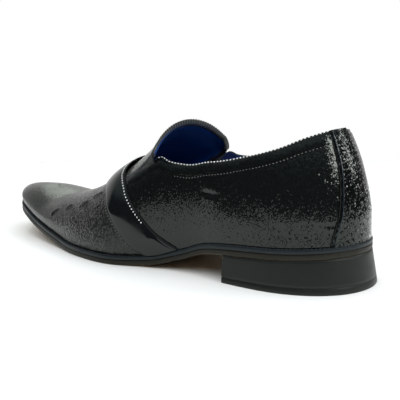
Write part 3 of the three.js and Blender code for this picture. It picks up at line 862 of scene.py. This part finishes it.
# Elastic wedges between the tongue and the quarters.
gore = {"firstRow": 4, "edge": 0.560, "low": 0.45, "least": 0.08, "hinge": 0.3, "thick": 0.9}
goreEnds = {
    1: {"lastRow": 5.8, "gap": 0.017, "tuck": 0.0, "reach": "reach", "spread": "spread"},
    -1: {"lastRow": 6.0, "gap": 0.004, "tuck": 0.016, "reach": "innerReach", "spread": "innerSpread"},
}


def gorePlace(side):
    end = goreEnds[side]

    def place(u, w):
        row = gore["firstRow"] + (end["lastRow"] - gore["firstRow"]) * w
        top = tongueOf[end["reach"]](row) - end["gap"]
        low = np.minimum(gore["low"], top - gore["least"])
        height = low + (top - low) * u
        hinge = np.minimum(gore["edge"], low + gore["hinge"] * (top - low))
        lean = np.clip((height - hinge) / (top - hinge), 0, 1)
        along = tongueOf["along"](row) - tongueOf["curl"](row) - end["tuck"] * smoothStep(w, 0.55, 1.0)
        away = tongueOf["flare"](row) * shoe["tongueFlare"] * lean - shoe["wall"] - shoe["liningSeam"]
        point = lastPoint(ribAt(stationAt(along), side), height, away)
        point[:, 1] += side * tongueOf[end["spread"]](row) * shoe["tongueSpread"] * lean
        return point
    return place


for side, node in ((1, "gore_outer"), (-1, "gore_inner")):
    wedge = drape(node + ".cloth", 28, 30, gorePlace(side), [elastic], centre=towardCentre)
    thicken(wedge, gore["thick"])
    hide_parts(node)
print("stage: elastic")


# Rings round the foot: each profile row is (share from the middle line to the edge, inset, level).
def ringPlace(profile, low, high):
    rows = np.array(profile, float)

    def place(u, k):
        row = rows[np.round(k * (len(rows) - 1)).astype(int)]
        station = rowCount * climbOf(u)
        edge = edgeAt(station, sideOf(u), row[:, 1])
        middle = (edgeAt(station, 1, row[:, 1]) + edgeAt(station, -1, row[:, 1])) / 2
        flat = middle + (edge - middle) * row[:, :1]
        x = flat[:, 0]
        return np.column_stack([flat, low(x) + (high(x) - low(x)) * row[:, 2]])
    return place


def rounded(bevel, thick, steps, sideBow):  # the side of a layer from its top to its bottom edge
    turns = [math.pi / 2 * i / steps for i in range(steps + 1)]
    upper = [(1, bevel * (1 - math.sin(a)), 1 - bevel * (1 - math.cos(a)) / thick) for a in turns]
    lower = [(1, bevel * (1 - math.cos(a)), bevel * (1 - math.sin(a)) / thick) for a in turns]
    return upper + [(1, -sideBow, 0.5)] + lower


def inward(level, start, shares=(0.97, 0.9, 0.75, 0.5, 0.25, 0.0)):
    return [(share, start, level) for share in shares]


ring = {
    "around": 560, "outsoleBevel": 0.7, "weltBevel": 0.55, "sockInset": 4.3, "sockEdge": 4.0,
    "sockRise": 0.35, "sockThick": 2.4, "underside": -0.8,
}
outsoleRows = inward(1, ring["outsoleBevel"])[::-1] + rounded(ring["outsoleBevel"], shoe["outsole"], 4, 0.1)
outsoleRows += inward(0, ring["outsoleBevel"] + 1.2)
outsole = drape(
    "outsole.body", ring["around"], len(outsoleRows) - 1, ringPlace(outsoleRows, soleBottom, outsoleTop),
    [soleEdge, soleTan], closed=True)
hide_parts("outsole")
for face in outsole.data.polygons:
    face.material_index = int(face.normal.z < ring["underside"])

weltRows = [(1, shoe["weltWidth"], 1)] + rounded(ring["weltBevel"], shoe["welt"] + shoe["seam"], 4, 0.15)
weltRows += [(1, shoe["weltWidth"], 0), (1, shoe["weltWidth"], 1)]
weltPlace = ringPlace(weltRows, outsoleTop, soleTop)
welt = drape("welt.strip", ring["around"], len(weltRows) - 1, weltPlace, [weltEdge], closed=True)
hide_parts("welt")


def sockTop(x):
    return soleTop(x) + shoe["seam"] + shoe["insole"] + ring["sockRise"]


def sockBottom(x):
    return sockTop(x) - ring["sockThick"]


sockRows = inward(1, ring["sockInset"])[::-1] + [(1, ring["sockInset"], 1), (1, ring["sockEdge"], 0.7)]
sockRows += [(1, ring["sockEdge"], 0)] + inward(0, ring["sockInset"])
sockPlace = ringPlace(sockRows, sockBottom, sockTop)
sock = drape("sock", ring["around"] // 2, len(sockRows) - 1, sockPlace, [navyLining], closed=True)
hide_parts("insole")
print("stage: sole")

# Heel block: a D from above, flaring to the floor, with the thin line of its top piece.
heel = {"around": 220, "breast": 60, "topPiece": 4.6, "groove": 0.35, "grooveHalf": 0.022,
        "centre": (0.5 * shoe["heelLength"], 4.0)}


def heelLevels():
    rows = [(share, 0.0, 1.0) for share in (0.0, 0.4, 0.8, 0.96)]
    rows += [(1, 0.35, 1.0), (1, 0.05, 0.985), (1, 0.0, 0.9), (1, 0.0, 0.6), (1, 0.0, 0.3)]
    level = heel["topPiece"] / shoe["heelHeight"]
    rows += [(1, 0.0, level + heel["grooveHalf"]), (1, heel["groove"], level)]
    rows += [(1, 0.0, level - heel["grooveHalf"])]
    rows += [(1, 0.0, 0.08), (1, 0.05, 0.02), (1, 0.4, 0.0)]
    return np.array(rows + [(share, 0.4, 0.0) for share in (0.96, 0.8, 0.4, 0.0)])


heelRows = heelLevels()
heelEnds = {
    k: np.interp(shoe["heelLength"], edgeAt(stationTable, k, 0.0)[:, 0], stationTable) for k in (-1, 1)}


def heelPlace(u, k):
    row = heelRows[np.round(k * (len(heelRows) - 1)).astype(int)]
    breast = heel["breast"] / (heel["around"] + heel["breast"])
    t = np.clip((u - breast) / (1 - breast), 0, 1)
    side = sideOf(t)
    station = np.where(side > 0, heelEnds[1], heelEnds[-1]) * np.abs(1 - 2 * t)
    x = edgeAt(station, side, 0.0)[:, 0]
    behind = np.clip(1 - x / shoe["heelLength"], 0, 1)
    flare = shoe["heelFlareSide"] + (shoe["heelFlareBack"] - shoe["heelFlareSide"]) * behind
    point = edgeAt(station, side, row[:, 1] - flare * (1 - row[:, 2]))
    inner, outer = (edgeAt(np.array([end]), np.array([k]), 0.0)[0][1] for k, end in heelEnds.items())
    spread = shoe["heelFlareSide"] * (1 - row[:, 2]) - row[:, 1]
    low, high = inner - spread, outer + spread
    cross = np.clip(u / breast, 0, 1)
    line = np.column_stack([shoe["heelLength"] - row[:, 1], low + (high - low) * cross])
    flat = np.where((u < breast)[:, None], line, point)
    flat[:, 0] = np.minimum(flat[:, 0], shoe["heelLength"] - row[:, 1])
    centre = np.array(heel["centre"])
    flat = centre + (flat - centre) * row[:, :1]
    top = soleBottom(flat[:, 0]) - 0.05
    return np.column_stack([flat, top * row[:, 2]])


heelAcross = heel["around"] + heel["breast"]
heelBlock = drape("heel.block", heelAcross, len(heelRows) - 1, heelPlace, [heelEdge], closed=True)
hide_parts("heel")
print("stage: heel")


# Rails and rows of stitches follow a line: line(t) gives points and outward directions.
def lineFrames(line, steps):
    points, outward = line(np.linspace(0, 1, steps + 1))
    run = unit(np.gradient(points, axis=0))
    side = unit(np.cross(run, outward))
    return points, run, side, np.cross(side, run)


def rail(name, line, steps, wide, tall, material, slot):
    points, run, side, outward = lineFrames(line, steps)
    ends = np.ones(steps + 1)
    ends[[0, -1]] = 0

    def place(u, k):
        i = np.round(u * steps).astype(int)
        across = ends[i] * wide / 2 * np.cos(2 * np.pi * k)
        over = ends[i] * tall / 2 * np.sin(2 * np.pi * k)
        return points[i] + side[i] * across[:, None] + outward[i] * over[:, None]
    drape(name, steps, 8, place, [material], closed=True)


def stitches(name, lines, size, material):  # size: pitch, length, width, height
    pitch, long, wide, tall = size
    bm = bmesh.new()
    for line in lines:
        points, *axes = lineFrames(line, 400)
        travel = np.append(0, np.cumsum(lengths(np.diff(points, axis=0))))
        spots = np.arange(pitch / 2, travel[-1], pitch)
        middle, run, side, outward = (
            np.column_stack([np.interp(spots, travel, rows[:, c]) for c in range(3)])
            for rows in (points, *axes))
        axes = (run * long / 1000, side * wide / 1000, outward * tall / 1000)
        for m, a, b, c in zip(toShoe(middle), *axes):
            turn = Matrix([(a[i], b[i], c[i], m[i]) for i in range(3)] + [(0, 0, 0, 1)])
            bmesh.ops.create_uvsphere(bm, u_segments=6, v_segments=4, radius=0.5, matrix=turn)
    finishPiece(bm, name, [material])


def lineOf(place):  # place(t, away) gives points that many millimetres off the surface
    def line(t):
        surface = place(t, 0.0)
        return surface, unit(place(t, 1.0) - surface)
    return line


def collarLineAt(drop, start, end, off=0.0):
    small = 0.02

    def place(t, away):
        station, side, height = quarterSpot(start + (end - start) * t, 1.0)
        rib = ribAt(station, side)
        step = lengths(lastPoint(rib, height) - lastPoint(rib, height - small))
        return lastPoint(rib, height - small * drop / step, away + off)
    return lineOf(place)


def strapLineAt(across, start, end, off=0.0):
    def place(t, away):
        return strapPoint(start + (end - start) * t, across, 1 + (away + off) / shoe["strap"])
    return lineOf(place)


def stayLineAt(share, start, end, off=0.0):
    def place(t, away):
        return stayPoint(share, start + (end - start) * t, 1 + (away + off) / shoe["stay"])
    return lineOf(place)


def lastLineAt(first, second, side, off=0.0):
    def place(t, away):
        along = first[0] + (second[0] - first[0]) * t
        height = first[1] + (second[1] - first[1]) * t
        return lastPoint(ribAt(stationAt(along), side), height, away + off)
    return lineOf(place)


def weltLineAt(inset, side):
    def place(t, away):
        flat = edgeAt(rowCount * (0.002 + 0.996 * t), side, inset)
        return np.column_stack([flat, soleTop(flat[:, 0]) + away])
    return lineOf(place)


trim = {  # rails: width, height; stitches: pitch, length, width, height
    "beadWithPaintedHighlight": (1.0, 1.3), "stayLine": (0.7, 0.5), "shadow": (0.9, 0.45), "slit": (0.5, 0.35),
    "fine": (2.2, 0.9, 0.6, 0.5), "top": (2.3, 1.3, 0.9, 0.7), "strap": (2.2, 1.0, 1.1, 0.8),
    "welt": (2.4, 1.7, 0.55, 0.5), "weltInset": 0.95, "secondDrop": 8.0,
}
# the topline bead's lighter colour partly paints its highlight
bead = collarLineAt(drop=0.2, start=0.015, end=0.86, off=-0.6)
rail("toplineBead", bead, 460, *trim["beadWithPaintedHighlight"], beadWithPaintedHighlight, "patent_leather")
topRow = collarLineAt(drop=0.1, start=0.088, end=0.84, off=0.2)
stitches("toplineStitches", [topRow], trim["top"], thread)
secondRows = [collarLineAt(trim["secondDrop"], *ends, off=-0.1) for ends in ((0.12, 0.47), (0.53, 0.88))]
stitches("secondStitches", secondRows, trim["fine"], greyThread)
for name, edge in (("strapBackShadow", 1.0), ("strapFrontShadow", 0.0)):
    shade = strapLineAt(edge, start=0.01, end=0.99, off=-1.6)
    rail(name, shade, 300, *trim["shadow"], paintedShadeAndSeam, "strap_leather")
strapRow = strapLineAt(0.93, start=0.12, end=0.88, off=0.25)
stitches("strapStitches", [strapRow], trim["strap"], thread)
vampRow = strapLineAt(-0.03, start=0.04, end=0.96, off=-1.5)
stitches("vampStitches", [vampRow], trim["fine"], greyThread)
for name, share in (("outer", 0.025), ("inner", 0.975)):
    edge = stayLineAt(share, start=0.03, end=0.985)
    rail("stayLine." + name, edge, 120, *trim["stayLine"], stayLine, "patent_leather")
for name, share in (("outer", 0.0), ("inner", 1.0)):
    shade = stayLineAt(share, start=0.01, end=0.985, off=-0.8)
    rail("stayShadow." + name, shade, 120, *trim["shadow"], paintedShadeAndSeam, "patent_leather")
seam = {"row": (4.7, 5.75, 6.4), "across": (-0.95, -0.90, -0.995), "at": (0, 0.55, 1)}


def liningSeam(t):  # where the tongue's far corner is pieced
    row, across = (curveOf(seam["at"], seam[column])(t) for column in ("row", "across"))
    inside = tonguePoint(row, across, shoe["tongue"])
    return inside, unit(inside - tonguePoint(row, across, 0))


rail("liningSeam", liningSeam, 60, 0.5, 0.5, paintedShadeAndSeam, "sock_lining")
# each slash gets a black rail sunk into it: painted shade inside the cut
for number, (first, second) in enumerate(slashes):
    for side, hand in ((1, "outer"), (-1, "inner")):
        name = "slash%d.%s" % (number + 1, hand)
        slit = lastLineAt(first, second, side, off=-0.35)
        rail(name, slit, 24, *trim["slit"], paintedShadeAndSeam, "patent_leather")
weltSeams = [weltLineAt(trim["weltInset"], side) for side in (1, -1)]
stitches("weltStitches", weltSeams, trim["welt"], darkThread)
print("stage: beads and stitches")


# Camera, floor and lights
view = {"azimuth": 216.674, "elevation": 10.894, "distance": 450.0, "focal": 57.978, "roll": 0.828,
        "target": (123.881, 0.0, 39.255)}


def viewAxes():
    a, e, r = (math.radians(view[k]) for k in ("azimuth", "elevation", "roll"))
    back = Vector((math.sin(a) * math.cos(e), -math.cos(a) * math.cos(e), math.sin(e)))
    right = (-back).cross(Vector((0, 0, 1))).normalized()
    up = right.cross(-back)
    return right * math.cos(r) - up * math.sin(r), right * math.sin(r) + up * math.cos(r), back


right, up, back = viewAxes()
cameraData = bpy.data.cameras.new("camera")
cameraData.lens = view["focal"]
cameraData.clip_start = 0.01
camera = putIn("camera", cameraData)
eye = Vector(toShoe([view["target"]])[0]) + back * view["distance"] / 1000
camera.matrix_world = Matrix((*zip(right, up, back, eye), (0, 0, 0, 1)))
scene.camera = camera

studio = {
    "floorRadius": 0.55, "flagTo": (-0.74, -0.64, 0.20), "fillHeight": 1.05, "fillNear": 0.22,
    "low": (0.012, 0.013, 0.013, 1), "high": (0.34, 0.40, 0.43, 1), "far": (0.72, 0.72, 0.71, 1),
    "farHigh": (0.42, 0.43, 0.42, 1), "lowRise": (0.35, 0.62), "farRise": (0.3, 0.65),
    "flagShare": (0.78, 0.93, 1.0, 0.05), "farShare": (0.0, 0.4),
}
lamps = {  # place, aim, size and energy; the glints are caught by the grain of the patent leather
    "window": ((0.80, -0.86, 0.80), (0.1, 0, 0.03), (0.75, 0.6), 2.2),
    "glint1": ((-0.66, 0.05, 0.33), (-0.12, 0.03, 0.07), (0.12, 0.2), 0.8),
    "glint2": ((-0.60, -0.34, 0.28), (-0.13, 0.02, 0.075), (0.12, 0.2), 0.6),
}
windowTint = (0.93, 1, 0.92)
bm = bmesh.new()
bmesh.ops.create_circle(bm, cap_ends=True, radius=studio["floorRadius"], segments=128)
floorMesh = bpy.data.meshes.new("floor")
bm.to_mesh(floorMesh)
bm.free()
floor = putIn("floor", floorMesh)
floorMesh.materials.append(newMaterial("paleFloor", (0.93, 0.93, 0.92), 0.6, 0.3)[0])


def areaLight(name, place, aim, size, energy):
    data = bpy.data.lights.new(name, "AREA")
    data.shape = "RECTANGLE"
    data.size, data.size_y = size
    data.energy = energy
    lamp = putIn(name, data)
    lamp.location = place
    lamp.rotation_euler = (Vector(aim) - Vector(place)).to_track_quat("-Z", "Y").to_euler()
    return lamp


far = -Vector((back.x, back.y, 0)).normalized()
lit = {name: areaLight(name, *lamp) for name, lamp in lamps.items()}
lit["window"].data.color = windowTint
above = Vector((0, 0, studio["fillHeight"])) - far * studio["fillNear"]
areaLight("fill", above, (0, 0, 0), (1.8, 1.8), 18.5).visible_glossy = False

world = bpy.data.worlds.new("studio")
scene.world = world
world.use_nodes = True
tree = world.node_tree
tree.nodes.clear()
direction = addNode(tree, "TexCoord").outputs["Generated"]
facing = vectorMath(tree, "DOT_PRODUCT", direction, tuple(far))["Value"]
toFlag = vectorMath(tree, "DOT_PRODUCT", direction, studio["flagTo"])["Value"]
flag = rampOf(tree, toFlag, *studio["flagShare"])  # a dark board, seen in the back stay
share = mathOf(tree, "MULTIPLY", rampOf(tree, facing, *studio["farShare"]), flag)
level = addNode(tree, "SeparateXYZ", {0: direction}).outputs["Z"]
near = mixColour(tree, rampOf(tree, level, *studio["lowRise"]), studio["low"], studio["high"])
beyond = mixColour(tree, rampOf(tree, level, *studio["farRise"]), studio["far"], studio["farHigh"])
glow = mixColour(tree, share, near, beyond)
seen = addNode(tree, "LightPath").outputs["Is Camera Ray"]
shown = mixColour(tree, seen, glow, (1.0, 1.0, 1.0, 1))
sky = addNode(tree, "Background", {"Color": shown, "Strength": 1.0})
addNode(tree, "OutputWorld", {"Surface": sky.outputs[0]})
scene.view_settings.view_transform = "Standard"
print("stage: camera and light")
